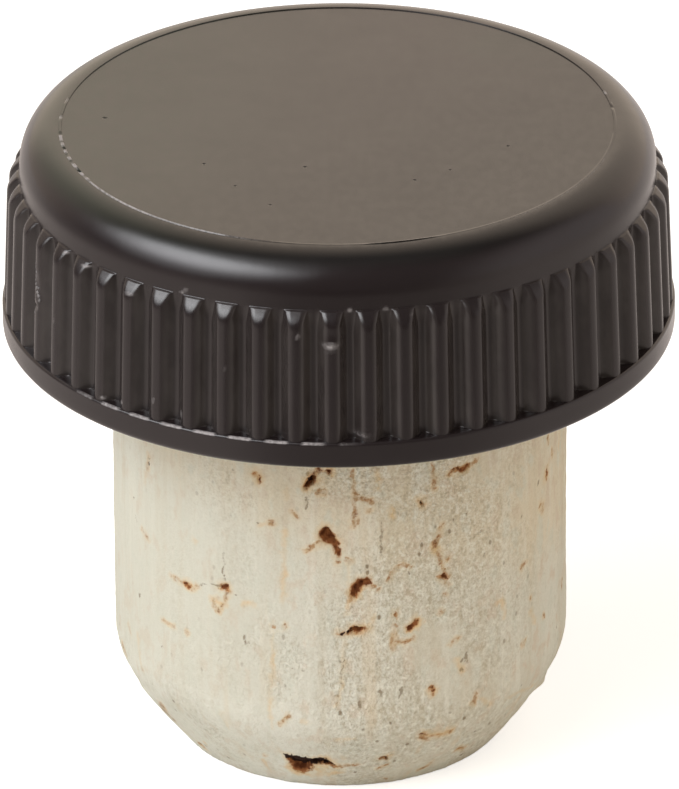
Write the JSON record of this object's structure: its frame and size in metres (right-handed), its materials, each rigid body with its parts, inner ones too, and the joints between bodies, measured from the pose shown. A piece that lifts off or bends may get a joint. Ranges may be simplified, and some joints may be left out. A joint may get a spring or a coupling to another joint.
{
  "type": "bottle stopper",
  "caption": "Bar-top bottle stopper: a black plastic cap with a ribbed grip band and a small flange, and a natural cork shank glued into its underside.",
  "frame": {"origin": "centre of the cork's free end face", "axes": "+Z along the stopper's axis, from the cork's free end towards the top of the cap; -Y towards the front"},
  "size_m": [0.029, 0.029, 0.0284],
  "materials": {
    "cap_plastic": "satin black moulding",
    "natural_cork": "ground cork, open pores, bare"
  },
  "bodies": {
    "root": {"cap": "cap_plastic", "cork": "natural_cork"}
  },
  "joints": []
}
